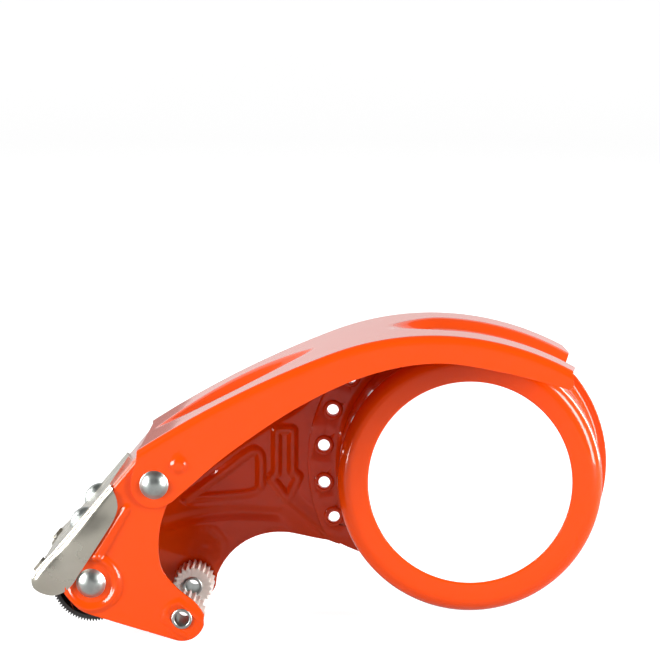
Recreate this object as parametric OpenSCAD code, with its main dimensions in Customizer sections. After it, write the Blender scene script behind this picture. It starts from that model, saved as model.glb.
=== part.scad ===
// Hand-held metal dispenser for 2-inch packing tape.
// X runs along the tool with the cutting edge at -X, Y across it, Z up.
// The origin is on the tape drum's axis, midway between the two side plates.

/* [Sheet metal body] */
// Width over the outer faces of the two side plates
body_w = 54; // [48:0.5:66]
// Thickness of the body's sheet
plate_t = 1; // [0.8:0.1:1.2]
// Corner radius of the rounded leg under each guide wheel
leg_r = 6.35; // [5.5:0.05:7.5]
// Slope of the front web that carries the blade
web_slope = 50; // [46:1:54]
// Distance from the hinge axis to the front web's outer face
web_reach = 8.6; // [8.2:0.1:8.8]

/* [Tape drum] */
// Outer radius of the drum, which the tape's paper core slides over
drum_r = 37.4; // [31:0.1:38]
// Depth of the drum from its plate to its free end
drum_depth = 34.2; // [25:0.1:42]
// Thickness of the drum's sheet
drum_t = 0.9; // [0.7:0.1:1.2]
// Radius of the fold at the drum's free end
drum_fold_r = 4.3; // [3:0.1:6]
// Radius of the fold at the drum's foot
foot_fold_r = 1.8; // [1.2:0.1:2.2]
// Width of the flat annulus at the free end, inside the fold
drum_lip_w = 4.33; // [2:0.01:8]
// Width of the rim that stands out from the drum's foot
rim_w = 3.1; // [2.8:0.1:5]
// Depth of the rim's turned-down edge
rim_lip_h = 2.2; // [1.2:0.1:4]

/* [Clinch joints] */
// Number of clinched collars that hold the drum plate to the body
clinch_count = 5; // [3:1:6]
// Angle between neighbouring collars
clinch_pitch = 14.9; // [13:0.1:16]
// Bore radius of a clinched collar
clinch_bore_r = 1.7; // [1.2:0.05:2.2]

/* [Hinged cover] */
// Thickness of the cover's sheet
cover_t = 0.8; // [0.6:0.1:1]
// Gap on each side between a side plate and the cover
cover_gap = 0.2; // [0.1:0.05:0.5]
// Radius of the arched top over the drum
arch_r = 80; // [74:1:90]
// Height of the cover's top over the drum's axis
cover_top = 44.1; // [43:0.1:47]
// Half-width of the pressed channels in the cover's top
channel_half_w = 15; // [12:0.5:21]
// Depth of the pressed channels
channel_depth = 2.4; // [1:0.1:2.8]
// How far the middle of the front edge is set back
notch_depth = 1.2; // [1:0.1:6]
// Radius of the round lobe about each hinge rivet
lobe_r = 6.5; // [5.5:0.1:7.5]

/* [Rivets and screws] */
// Shank radius of the hinge rivets
hinge_pin_r = 2.4; // [2:0.05:3]
// Head radius of the hinge rivets
hinge_head_r = 3.95; // [3.6:0.05:4.6]
// Height of every domed head
dome_h = 2.1; // [1.5:0.1:3]
// Shank radius of the roller's axle rivet
axle_r = 2.7; // [2.2:0.05:3]
// Radius of the axle's domed head
axle_head_r = 4.05; // [3.6:0.05:4.1]
// Radius of the axle's flared end
axle_flare_r = 3.55; // [3.3:0.05:4]
// Shank radius of the blade screws
screw_r = 2; // [1.5:0.05:2.5]
// Head radius of the blade screws
screw_head_r = 3.9; // [3.3:0.05:4.5]
// Distance of each blade screw from the middle
screw_y = 18.4; // [12:0.1:19]
// Width across the flats of the blade nuts
nut_af = 7; // [6:0.1:8]
// Thickness of the blade nuts
nut_t = 2.2; // [1.6:0.1:2.4]

/* [Rollers] */
// Radius of the knurled press roller
roller_r = 11.2; // [9:0.1:11.4]
// Depth of the recess in each end of the press roller
roller_recess = 3; // [0.5:0.1:6]
// Wall thickness of the sleeve that the press roller turns on
sleeve_t = 0.7; // [0.5:0.05:1]
// Tip radius of the toothed guide wheels
wheel_r = 5.9; // [5:0.1:6.2]
// Number of teeth on a guide wheel
wheel_teeth = 22; // [16:1:30]
// Width of a guide wheel
wheel_w = 11; // [6:0.5:16]
// Bore radius of the eyelets that carry the guide wheels
eyelet_bore_r = 2; // [1.5:0.05:2.2]
// Running clearance between a turning piece and its pin
run_gap = 0.05; // [0.03:0.01:0.09]
// Clearance between a fastener and the hole that it is fixed in
fit_gap = 0.03; // [0.02:0.01:0.06]

/* [Blade] */
// Thickness of the blade's sheet
blade_t = 0.8; // [0.6:0.1:1]
// Distance from the hinge to the toothed edge, along the web
tooth_reach = 38.8; // [37:0.1:41]
// Number of teeth between the two ears
tooth_count = 21; // [15:2:31]
// Height of a tooth
tooth_h = 1.6; // [1:0.1:2]
// Width of each rounded ear beside the teeth
ear_w = 5.5; // [4:0.1:8]

/* [Hidden] */
$fn = 64;

enamel = "#ff5c0d";
nickel = "#c9c4b4";
zinc = "#b9c0bd";
nylon = "#e9e2dc";
black = "#1c1a18";

half_w = body_w / 2;
inner_y = half_w - plate_t;
drum_plate_y = inner_y - drum_t;
rim_r = drum_r + rim_w;
free_y = inner_y - drum_depth;

// The three cross axes, as [x, z]
hinge_c = [-87.3, 2.55];
roller_c = [-105, -25.3];
wheel_c = [-79.9, -35.2];

// Local frame of the front web: u runs up the slope, w outwards from its outer face
up = [cos(web_slope), sin(web_slope)];
out = [-sin(web_slope), cos(web_slope)];
web_o = hinge_c + web_reach * out;
web_top = 2.6;
web_end = -34;

clinch_r = drum_r + 4.9;
clinch_mid = 173.4;
collar_r = clinch_bore_r + 0.4;
collar_flare_r = clinch_bore_r + 1.2;
collar_flare_t = 0.4;
tab_r = clinch_r + 4.5;
tab_top = 112;
lip_angle = 243;
rim_lip_step = 0.2;
body_end_r = drum_r + 1.2;

cover_y = half_w + cover_gap;
cover_out_y = cover_y + cover_t;
arch_c = [-10.5, cover_top - arch_r];
arch_start = 110.99;
arch_end = 61.6;
nose_r = 284;
nose_c = arch_c + (arch_r - nose_r) * [cos(arch_start), sin(arch_start)];
front_run = 59.6;
notch_half_y = 15;
channel_wall_t = cover_t;

hinge_tail_r = hinge_pin_r + 1.2;
hinge_tail_t = 0.9;
sleeve_r = axle_r + fit_gap + sleeve_t;
roller_bore_r = sleeve_r + run_gap;
roller_half = inner_y - 0.6;
eyelet_r = eyelet_bore_r + 0.4;
eyelet_flange_r = eyelet_r + 0.45;
eyelet_flange_t = 0.5;
wheel_side_gap = 0.15;
wheel_root_r = wheel_r - 0.75;
screw_u = -22.3;
screw_tail = 0.6;
screw_len = blade_t + plate_t + nut_t + screw_tail;

// Points of a circular arc from angle a0 to a1
function arc(c, r, a0, a1, n = 12) =
    [for (i = [0 : n]) let (a = a0 + (a1 - a0) * i / n) c + r * [cos(a), sin(a)]];

// One stretch of a smooth curve through p[i] and p[i + 1]
function stretch(a, b, c, d, t) =
    0.5 * (2 * b + (c - a) * t + (2 * a - 5 * b + 4 * c - d) * t * t
        + (3 * b - a - 3 * c + d) * t * t * t);

// A smooth curve through every point of p, with n steps between two points
function smooth(p, n = 5) = let (m = len(p) - 1) concat(
    [for (i = [0 : m - 1], k = [0 : n - 1])
        stretch(p[max(i - 1, 0)], p[i], p[i + 1], p[min(i + 2, m)], k / n)],
    [p[m]]);

function reverse(p) = [for (i = [len(p) - 1 : -1 : 0]) p[i]];

// A point of the web's local frame, in the part's own X and Z
function web_pt(u, w) = web_o + u * up + w * out;

// The cover's top line, o below its outer face: a long nose curve that runs into the arch
function cover_line(o, run = front_run) = let (nose_turn = run / nose_r * 180 / PI) concat(
    arc(nose_c, nose_r - o, arch_start + nose_turn, arch_start + nose_turn / 12, 11),
    arc(arch_c, arch_r - o, arch_start, arch_end, 28));

// Both plates share the front edge, the sloping lower edge and the leg
function front_edge() = concat(
    [web_pt(web_top, 0), web_pt(web_end - 1, 0)],
    smooth([web_pt(web_end - 2.6, -0.6), [-116, -24], [-112.5, -28.2], [-108.1, -32.9],
        [-103.75, -34.75]], 6),
    arc(wheel_c, leg_r, 252.6, 340, 20));

main_outline = concat(
    front_edge(),
    arc([-55, -40.8], 19.6, 160, 76, 26),
    [[-41.25, -23.4], [-37.4, -24.6]],
    arc([0, 0], body_end_r, 213.5, 135.5, 32),
    smooth([[-28.8, 29.6], [-30.6, 31], [-35, 30], [-47.5, 25.3]], 3),
    [[-80, 13]]);

short_outline = concat(
    front_edge(),
    smooth([[-73.7, -34], [-76.2, -30.6], [-81.25, -26.5], [-85.6, -20.6], [-86.1, -11.5],
        [-83.75, -3.1], [-80.6, 0.4]], 7),
    arc(hinge_c, 7.4, 0, 90, 12));

tab_outline = concat(
    smooth([[-14, 38], [-18.75, 36.4], [-25, 34.1], [-35, 30], [-37.2, 28.9]], 3),
    arc([0, 0], tab_r, 142.6, 208.8, 16),
    [[-35, -25.4], [-30, -27.4], [-22, -33.6], [-12, 0]]);

flange_lower = smooth([[26.2, 29.6], [8.75, 34.1], [-10, 36.6], [-28.75, 33.1], [-47.5, 24.4],
    [-66.25, 11.7], [-78.75, 1], [-82.5, -2.3]], 7);

flange_outline = concat(
    cover_line(0),
    [[27.7, 31.6], [27.3, 30.2]],
    flange_lower,
    arc(hinge_c, lobe_r, -60, -175, 20),
    [[-93.4, 5.6], [-92.4, 9.4]]);

blade_side_outline = [for (p = concat(
    smooth([[-8, blade_t / 2], [-8.6, -0.6], [-10.2, -2.6], [-12, -4.6], [-14.6, -6]], 3),
    smooth([[-33, -8.8], [-36.2, -9.2], [-39.7, -9], [-42.4, -7], [-43.9, -3.6], [-44, -0.6],
        [-43.4, 0.2], [-41, blade_t / 2]], 3))) web_pt(p.x, p.y)];

// The blade's top face, seen square on: u up the slope and y across
blade_top_half = half_w + 2 * fit_gap + blade_t;
tooth_span = 2 * (blade_top_half - ear_w);
blade_top_outline = concat(
    smooth([[-8, blade_top_half], [-6.9, 18], [-4.9, 8], [-4, 0], [-4.9, -8], [-6.9, -18],
        [-8, -blade_top_half]], 5),
    arc([-41, 3 - blade_top_half], 3, 270, 180, 5),
    arc([-42, ear_w - 1.5 - blade_top_half], 1.5, 180, 90, 4),
    [for (i = [0 : tooth_count - 1], k = [0, 1])
        [-tooth_reach + tooth_h * (1 - k),
            (i + k / 2 - tooth_count / 2) * tooth_span / tooth_count]],
    [[-tooth_reach + tooth_h, tooth_span / 2]],
    arc([-42, blade_top_half - ear_w + 1.5], 1.5, 270, 180, 4),
    arc([-41, blade_top_half - 3], 3, 180, 90, 5));

drum_profile = concat(
    [[drum_r - drum_fold_r - drum_lip_w, free_y]],
    arc([drum_r - drum_fold_r, free_y + drum_fold_r], drum_fold_r, 270, 360, 8),
    arc([drum_r + foot_fold_r, drum_plate_y - foot_fold_r], foot_fold_r, 180, 90, 6),
    [[rim_r, drum_plate_y], [rim_r, inner_y]],
    arc([drum_r + foot_fold_r, drum_plate_y - foot_fold_r], foot_fold_r + drum_t, 90, 180, 6),
    arc([drum_r - drum_fold_r, free_y + drum_fold_r], drum_fold_r - drum_t, 360, 270, 8),
    [[drum_r - drum_fold_r - drum_lip_w, free_y + drum_t]]);

// An outline in X and Z, made into a plate from y0 to y0 + t
module plate(outline, y0, t) {
    translate([0, y0 + t, 0]) rotate([90, 0, 0]) linear_extrude(t) polygon(outline);
}

// A plate on one side of the part: its faces lie at y0 and y0 + t from the middle
module side_plate(outline, side, y0, t) {
    plate(outline, side > 0 ? y0 : -y0 - t, t);
}

// A cylinder across the part, about the axis c, from y0 to y1
module across(c, r, y0, y1) {
    translate([c.x, y0, c.y]) rotate([-90, 0, 0]) cylinder(h = y1 - y0, r = r);
}

// Turns a body that stands on Z at the origin so that it points out of one side
module facing(c, side, y) {
    translate([c.x, side * y, c.y]) rotate([-90 * side, 0, 0]) children();
}

// The web's local frame: X up the slope, Z outwards
module on_web(u = 0, y = 0, w = 0) {
    translate([web_o.x, y, web_o.y]) rotate([0, -web_slope, 0]) translate([u, 0, w]) children();
}

// A domed head of radius r that stands on z = 0
module dome(r, h) {
    ball_r = (r * r + h * h) / (2 * h);
    rotate_extrude() polygon(concat([[0, 0], [r, 0]],
        [for (i = [1 : 8]) let (a = asin(r / ball_r) * (1 - i / 8))
            [ball_r * sin(a), ball_r * cos(a) - ball_r + h]]));
}

function clinch_angle(i) = clinch_mid + (i - (clinch_count - 1) / 2) * clinch_pitch;
function clinch_pt(i) = clinch_r * [cos(clinch_angle(i)), sin(clinch_angle(i))];

module body_frame() color(enamel) {
    difference() {
        union() {
            side_plate(main_outline, 1, inner_y, plate_t);
            side_plate(short_outline, -1, inner_y, plate_t);
            on_web(web_end, -half_w, -plate_t) cube([web_top - web_end, body_w, plate_t]);
            for (i = [0 : clinch_count - 1]) {
                across(clinch_pt(i), collar_r, drum_plate_y - collar_flare_t, half_w - 0.1);
                across(clinch_pt(i), collar_flare_r, drum_plate_y - collar_flare_t, drum_plate_y);
            }
        }
        for (i = [0 : clinch_count - 1])
            across(clinch_pt(i), clinch_bore_r, 0, half_w + 1);
        across(hinge_c, hinge_pin_r + fit_gap, -half_w - 1, half_w + 1);
        across(roller_c, axle_r + fit_gap, -half_w - 1, half_w + 1);
        across(wheel_c, eyelet_r + fit_gap, -half_w - 1, half_w + 1);
        for (side = [-1, 1])
            on_web(screw_u, side * screw_y, -plate_t - 1) cylinder(h = plate_t + 2, r = screw_r + fit_gap);
    }
}

// A rounded rim edge runs all round, except where the flat tab leaves the drum
module drum_plate() color(enamel) {
    difference() {
        union() {
            rotate([-90, 0, 0]) rotate_extrude($fn = 128) polygon(drum_profile);
            difference() {
                plate(tab_outline, drum_plate_y, drum_t);
                across([0, 0], rim_r - 0.4, drum_plate_y - 1, inner_y + 1);
            }
            rotate([-90, 0, 0]) rotate([0, 0, -tab_top]) rotate_extrude(angle = lip_angle, $fn = 128)
                translate([rim_r + rim_lip_step - drum_t, inner_y - drum_t / 2 - rim_lip_h])
                    square([drum_t, rim_lip_h]);
        }
        for (i = [0 : clinch_count - 1])
            across(clinch_pt(i), collar_r + fit_gap, drum_plate_y - 1, inner_y + 1);
    }
}

// A stretch of the cover's top between two offsets below the outer face
module cover_band(o0, o1, y0, y1, run = front_run) {
    plate(concat(cover_line(o0, run), reverse(cover_line(o1, run))), y0, y1 - y0);
}

// A block that keeps what lies between two places along X
module x_window(x0, x1) {
    translate([x0, -body_w, -10]) cube([x1 - x0, 2 * body_w, 80]);
}

// A pressed channel: its floor, two side walls and the end walls that it needs
module channel(x0, x1, tail_open) {
    intersection() {
        cover_band(channel_depth, channel_depth + cover_t, -channel_half_w, channel_half_w);
        x_window(x0, x1);
    }
    intersection() {
        union() {
            for (side = [-1, 1])
                cover_band(0, channel_depth + cover_t,
                    side > 0 ? channel_half_w - channel_wall_t : -channel_half_w,
                    side > 0 ? channel_half_w : channel_wall_t - channel_half_w);
        }
        x_window(x0, x1);
    }
    intersection() {
        cover_band(0, channel_depth + cover_t, -channel_half_w, channel_half_w);
        union() {
            x_window(x0, x0 + channel_wall_t);
            if (!tail_open) x_window(x1 - channel_wall_t, x1);
        }
    }
}

module channel_cut(x0, x1) {
    intersection() {
        cover_band(-1, cover_t + 1, -channel_half_w + 0.01, channel_half_w - 0.01);
        x_window(x0, x1);
    }
}

tail_channel = [-21, 40];
front_channel = [-83, -50];

module cover() color(enamel) {
    difference() {
        union() {
            difference() {
                cover_band(0, cover_t, -cover_out_y, cover_out_y);
                channel_cut(tail_channel.x, tail_channel.y);
                channel_cut(front_channel.x, front_channel.y);
            }
            channel(tail_channel.x, tail_channel.y, true);
            channel(front_channel.x, front_channel.y, false);
            for (side = [-1, 1])
                side_plate(flange_outline, side, cover_y, cover_t);
        }
        // The front edge is set back between the two side ridges
        translate([cover_line(0)[0].x - 1, -notch_half_y, 0])
            cube([notch_depth + 1, 2 * notch_half_y, 30]);
        across(hinge_c, hinge_pin_r + run_gap, -cover_out_y - 1, cover_out_y + 1);
    }
}

module hinge_rivet(side) color(zinc) {
    facing(hinge_c, side, cover_out_y + run_gap) dome(hinge_head_r, dome_h);
    facing(hinge_c, side, inner_y - hinge_tail_t)
        cylinder(h = cover_out_y + run_gap + hinge_tail_t - inner_y, r = hinge_pin_r);
    facing(hinge_c, side, inner_y - hinge_tail_t) cylinder(h = hinge_tail_t, r = hinge_tail_r);
}

module cutter_blade() color(nickel) {
    difference() {
        union() {
            on_web() linear_extrude(blade_t) polygon(blade_top_outline);
            for (side = [-1, 1])
                side_plate(blade_side_outline, side, half_w + 2 * fit_gap, blade_t);
        }
        for (side = [-1, 1])
            on_web(screw_u, side * screw_y, -1) cylinder(h = blade_t + 2, r = screw_r + fit_gap);
    }
}

module blade_screw(side) color(zinc) {
    on_web(screw_u, side * screw_y, blade_t) dome(screw_head_r, dome_h);
    on_web(screw_u, side * screw_y, blade_t - screw_len) cylinder(h = screw_len, r = screw_r);
}

module blade_nut(side) color(zinc) {
    on_web(screw_u, side * screw_y, -plate_t - nut_t) difference() {
        cylinder(h = nut_t, r = nut_af / 2 / cos(30), $fn = 6);
        translate([0, 0, -1]) cylinder(h = nut_t + 2, r = screw_r + fit_gap);
    }
}

// A long rivet with a domed head on the open side and a flared end on the drum side
module roller_axle() color(zinc) {
    facing(roller_c, -1, half_w) dome(axle_head_r, dome_h);
    difference() {
        union() {
            across(roller_c, axle_r, -half_w, half_w);
            across(roller_c, axle_flare_r, half_w, half_w + 1);
        }
        across(roller_c, axle_r - 0.5, half_w - 5, half_w + 2);
    }
}

module roller_sleeve() color(zinc) difference() {
    across(roller_c, sleeve_r, fit_gap - inner_y, inner_y - fit_gap);
    across(roller_c, axle_r + fit_gap, -half_w, half_w);
}

module press_roller() color(black) difference() {
    across(roller_c, roller_r, -roller_half, roller_half);
    across(roller_c, roller_bore_r, -half_w, half_w);
    for (side = [-1, 1])
        facing(roller_c, side, roller_half - roller_recess) rotate_extrude()
            translate([roller_bore_r + 1.6, 0]) square([roller_r - roller_bore_r - 3.6, half_w]);
}

module guide_wheel(side) color(nylon) {
    facing(wheel_c, side, inner_y - wheel_side_gap - wheel_w) difference() {
        linear_extrude(wheel_w) polygon([for (i = [0 : wheel_teeth - 1], k = [0 : 3])
            let (a = (i + [-0.3, -0.14, 0.14, 0.3][k]) * 360 / wheel_teeth,
                r = [wheel_root_r, wheel_r, wheel_r, wheel_root_r][k]) r * [cos(a), sin(a)]]);
        translate([0, 0, -1]) cylinder(h = wheel_w + 2, r = eyelet_r + run_gap);
    }
}

module guide_eyelet(side) color(zinc) {
    tube = plate_t + wheel_w + 2 * wheel_side_gap;
    facing(wheel_c, side, half_w - tube) rotate_extrude() polygon([
        [eyelet_bore_r, -eyelet_flange_t], [eyelet_flange_r, -eyelet_flange_t],
        [eyelet_flange_r, 0], [eyelet_r, 0], [eyelet_r, tube], [eyelet_flange_r, tube],
        [eyelet_flange_r, tube + eyelet_flange_t], [eyelet_bore_r, tube + eyelet_flange_t]]);
}

body_frame();
drum_plate();
cover();
hinge_rivet(-1);  // hinge_rivet_left
hinge_rivet(1);  // hinge_rivet_right
cutter_blade();
blade_screw(-1);  // blade_screw_left
blade_screw(1);  // blade_screw_right
blade_nut(-1);  // blade_nut_left
blade_nut(1);  // blade_nut_right
roller_axle();
roller_sleeve();
press_roller();
guide_wheel(-1);  // guide_wheel_left
guide_wheel(1);  // guide_wheel_right
guide_eyelet(-1);  // guide_eyelet_left
guide_eyelet(1);  // guide_eyelet_right
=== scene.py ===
import math

import bmesh
import bpy
from mathutils import Matrix, Vector


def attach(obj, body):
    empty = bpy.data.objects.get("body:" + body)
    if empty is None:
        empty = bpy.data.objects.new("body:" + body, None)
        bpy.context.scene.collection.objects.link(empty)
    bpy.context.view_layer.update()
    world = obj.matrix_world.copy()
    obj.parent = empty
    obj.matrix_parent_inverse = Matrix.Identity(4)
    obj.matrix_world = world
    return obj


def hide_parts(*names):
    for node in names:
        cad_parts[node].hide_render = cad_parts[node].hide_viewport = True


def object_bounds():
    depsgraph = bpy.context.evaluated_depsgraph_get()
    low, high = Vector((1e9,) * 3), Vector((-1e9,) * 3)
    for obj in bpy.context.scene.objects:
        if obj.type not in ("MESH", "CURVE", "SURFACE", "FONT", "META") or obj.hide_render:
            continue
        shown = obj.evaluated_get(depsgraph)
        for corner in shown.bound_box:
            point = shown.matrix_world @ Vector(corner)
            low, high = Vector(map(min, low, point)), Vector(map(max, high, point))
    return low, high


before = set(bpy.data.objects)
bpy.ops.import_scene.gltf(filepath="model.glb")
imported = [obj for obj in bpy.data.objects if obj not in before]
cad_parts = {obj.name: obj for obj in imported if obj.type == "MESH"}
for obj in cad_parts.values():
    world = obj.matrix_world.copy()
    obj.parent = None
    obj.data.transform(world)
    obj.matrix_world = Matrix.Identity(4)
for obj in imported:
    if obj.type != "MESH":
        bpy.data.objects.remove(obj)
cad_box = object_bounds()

# Every size below is in millimetres; a piece is scaled to metres as it is finished.
MM = 0.001

# ---------------------------------------------------------------- places shared by the pieces
HALF = 27.0
PLATE = 1.0
HINGE = (-87.3, 2.55)
ROLLER = (-105.0, -25.3)
WHEEL = (-79.9, -35.2)
CLINCHES = [(-34.2, 25.0), (-39.4, 15.3), (-42.0, 4.9), (-41.9, -6.1), (-39.1, -16.2)]
SLOPE = math.radians(50)
UP = Vector((math.cos(SLOPE), 0, math.sin(SLOPE)))
OUT = Vector((-math.sin(SLOPE), 0, math.cos(SLOPE)))
WEB = Vector((HINGE[0], 0, HINGE[1])) + 8.6 * OUT
# The blade screws, and their nuts: how far down the web from WEB, and how far from the middle.
SCREW_U = -22.3
SCREW_Y = 18.4


# ---------------------------------------------------------------- small drawing helpers
def arc(cx, cz, radius, start, end, steps):
    """Points of a circular arc, with its angles in degrees."""
    points = []
    for i in range(steps + 1):
        a = math.radians(start + (end - start) * i / steps)
        points.append((cx + radius * math.cos(a), cz + radius * math.sin(a)))
    return points


def through(points, steps=5):
    """A smooth line through every one of the points."""
    line = []
    last = len(points) - 1
    for i in range(last):
        a = Vector(points[max(i - 1, 0)])
        b = Vector(points[i])
        c = Vector(points[i + 1])
        d = Vector(points[min(i + 2, last)])
        for k in range(steps):
            t = k / steps
            p = 2 * b + (c - a) * t + (2 * a - 5 * b + 4 * c - d) * t * t
            p += (3 * b - a - 3 * c + d) * t * t * t
            line.append(tuple(0.5 * p))
    line.append(tuple(points[last]))
    return line


def along(line, share):
    """The point at a share of a line's length."""
    lengths = [math.dist(a, b) for a, b in zip(line, line[1:])]
    left = share * sum(lengths)
    for a, b, length in zip(line, line[1:], lengths):
        if left <= length:
            return Vector(a).lerp(Vector(b), left / length)
        left -= length
    return Vector(line[-1])


def distance(point, line):
    """How far a point lies from a line of points."""
    best = 1e9
    for a, b in zip(line, line[1:]):
        ax, az = a
        bx, bz = b
        dx = bx - ax
        dz = bz - az
        t = ((point[0] - ax) * dx + (point[1] - az) * dz) / (dx * dx + dz * dz)
        t = max(0.0, min(1.0, t))
        best = min(best, math.hypot(point[0] - ax - t * dx, point[1] - az - t * dz))
    return best


def ease(value, start, end):
    """0 before start, 1 after end, and a smooth rise between them."""
    t = max(0.0, min(1.0, (value - start) / (end - start)))
    return t * t * (3 - 2 * t)


def spread(start, end, step):
    """Evenly spaced places from start to end, about a step apart."""
    count = max(1, round(abs(end - start) / step))
    return [start + (end - start) * i / count for i in range(count + 1)]


# ---------------------------------------------------------------- modelling helpers
def finish_piece(name, bm, body, material, nodes, sharp=38):
    """Scales a piece to metres, smooths it, hangs it under its body's empty, and hides the imported
    parts that it takes the place of.
    """
    bmesh.ops.scale(bm, vec=(MM, MM, MM), verts=bm.verts)
    mesh = bpy.data.meshes.new(name)
    bm.to_mesh(mesh)
    bm.free()
    mesh.materials.append(material)
    mesh.shade_smooth()
    mesh.set_sharp_from_angle(angle=math.radians(sharp))
    piece = bpy.data.objects.new(name, mesh)
    bpy.context.scene.collection.objects.link(piece)
    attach(piece, body)
    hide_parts(*nodes)
    return piece


def make_sheet(piece, thickness, edge, clamp=False, even=True):
    """Gives a skin its sheet thickness, inwards, and rounds the cut edges."""
    piece.data.shade_smooth()
    solid = piece.modifiers.new("sheet", "SOLIDIFY")
    solid.thickness = thickness * MM
    solid.offset = -1
    solid.use_even_offset = even
    solid.use_quality_normals = True
    rounding = piece.modifiers.new("cut_edge", "BEVEL")
    rounding.width = edge * MM
    rounding.segments = 2
    rounding.limit_method = "ANGLE"
    rounding.angle_limit = math.radians(50)
    rounding.use_clamp_overlap = clamp
    rounding.harden_normals = True


def spin_ring(bm, profile, steps=96, closed=False):
    """Spins a profile of (radius, height) round Z and returns its new vertices."""
    before = set(bm.verts)
    line = [bm.verts.new((r, 0, h)) for r, h in profile]
    edges = [bm.edges.new(pair) for pair in zip(line, line[1:])]
    if closed:
        edges.append(bm.edges.new((line[-1], line[0])))
    bmesh.ops.spin(bm, geom=line + edges, cent=(0, 0, 0), axis=(0, 0, 1), dvec=(0, 0, 0),
                   angle=2 * math.pi, steps=steps, use_merge=True)
    made = [v for v in bm.verts if v not in before]
    bmesh.ops.remove_doubles(bm, verts=made, dist=0.0005)
    made = [v for v in bm.verts if v not in before]
    faces = list({f for v in made for f in v.link_faces})
    bmesh.ops.recalc_face_normals(bm, faces=faces)
    return made


def across(bm, verts, centre, side):
    """Turns what stands on Z so that it points out of one side, about a cross axis."""
    turn = Matrix.Rotation(-side * math.pi / 2, 4, "X")
    spot = Matrix.Translation((centre[0], 0, centre[1]))
    bmesh.ops.transform(bm, matrix=spot @ turn, verts=verts)


def on_web(bm, verts, u, y):
    """Stands what is on Z on the front web, u up its slope and y from the middle."""
    turn = Matrix((UP, Vector((0, 1, 0)), OUT)).transposed().to_4x4()
    spot = Matrix.Translation(WEB + u * UP + Vector((0, y, 0)))
    bmesh.ops.transform(bm, matrix=spot @ turn, verts=verts)


def dome(radius, height, base, lip=0.35):
    """The profile of a domed head on a base height, with a small rounded rim."""
    ball = (radius * radius + height * height) / (2 * height)
    top = math.degrees(math.asin((radius - lip * 0.4) / ball))
    points = [(0.0, base + height)]
    for i in range(1, 13):
        a = math.radians(top * i / 12)
        points.append((ball * math.sin(a), base + height - ball + ball * math.cos(a)))
    edge = points[-1]
    points.append((radius, base + (edge[1] - base) * 0.55))
    points.append((radius - 0.05, base))
    return points


def clean_grid(bm, us, ts):
    """Cuts flat faces along a grid, then takes out every edge that isn't on it."""
    for axis, places in ((0, us), (1, ts)):
        normal = Vector((1, 0, 0)) if axis == 0 else Vector((0, 1, 0))
        for place in places:
            bmesh.ops.bisect_plane(bm, geom=bm.verts[:] + bm.edges[:] + bm.faces[:], dist=1e-4,
                                   plane_co=normal * place, plane_no=normal)
    lines = ({round(p, 2) for p in us}, {round(p, 2) for p in ts})
    loose = []
    for edge in bm.edges:
        if len(edge.link_faces) != 2:
            continue
        a, b = edge.verts[0].co, edge.verts[1].co
        kept = False
        for axis in (0, 1):
            if abs(a[axis] - b[axis]) < 2e-3 and round((a[axis] + b[axis]) / 2, 2) in lines[axis]:
                kept = True
        if not kept:
            loose.append(edge)
    bmesh.ops.dissolve_edges(bm, edges=loose, use_verts=False, use_face_split=False)
    spare = [v for v in bm.verts if len(v.link_edges) == 2 and not v.is_boundary]
    bmesh.ops.dissolve_verts(bm, verts=spare)


def fold(bm, half, radius, top, lift):
    """Folds a flat pattern into a U over the front web: u along X, t across on Y.
    lift(x, z, side, u, t) is how far the sheet is pressed outwards there, and side is 1 or -1."""
    begin = half - radius
    for v in bm.verts:
        u, t = v.co.x, v.co.y
        side = 1 if t > 0 else -1
        reach = abs(t)
        if reach <= begin:
            y, w, tilt = reach, top, 0.0
        elif reach < half + radius:
            tilt = (reach - begin) / (2 * radius) * math.pi / 2
            y = begin + radius * math.sin(tilt)
            w = top - radius * (1 - math.cos(tilt))
        else:
            y, w, tilt = half, top - (reach - half), math.pi / 2
        p = WEB + u * UP + w * OUT
        rise = lift(p.x, p.z, side, u, t)
        p += rise * math.cos(tilt) * OUT
        y += rise * math.sin(tilt)
        v.co = (p.x, side * y, p.z)


# ---------------------------------------------------------------- materials
def colour(value):
    """An sRGB hex value as a linear colour."""
    parts = [int(value[i:i + 2], 16) / 255 for i in (1, 3, 5)]
    return tuple(c / 12.92 if c <= 0.04045 else ((c + 0.055) / 1.055) ** 2.4 for c in parts) + (1.0,)


def set_inputs(tree, node, values):
    """Sets or links the named inputs of a node."""
    for name, value in values.items():
        if isinstance(value, bpy.types.NodeSocket):
            tree.links.new(value, node.inputs[name])
        else:
            node.inputs[name].default_value = value


def add(tree, kind, settings=(), inputs=()):
    """Adds a node, sets what is named, and sets or links its inputs."""
    node = tree.nodes.new(kind)
    for name, value in dict(settings).items():
        setattr(node, name, value)
    set_inputs(tree, node, dict(inputs))
    return node


def start_material(name):
    """A new node material with its shader, and Object coordinates in metres."""
    material = bpy.data.materials.new(name)
    material.use_nodes = True
    tree = material.node_tree
    tree.nodes.clear()
    place = add(tree, "ShaderNodeTexCoord").outputs["Object"]
    shader = add(tree, "ShaderNodeBsdfPrincipled")
    add(tree, "ShaderNodeOutputMaterial", inputs={"Surface": shader.outputs["BSDF"]})
    return material, tree, place, shader


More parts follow.
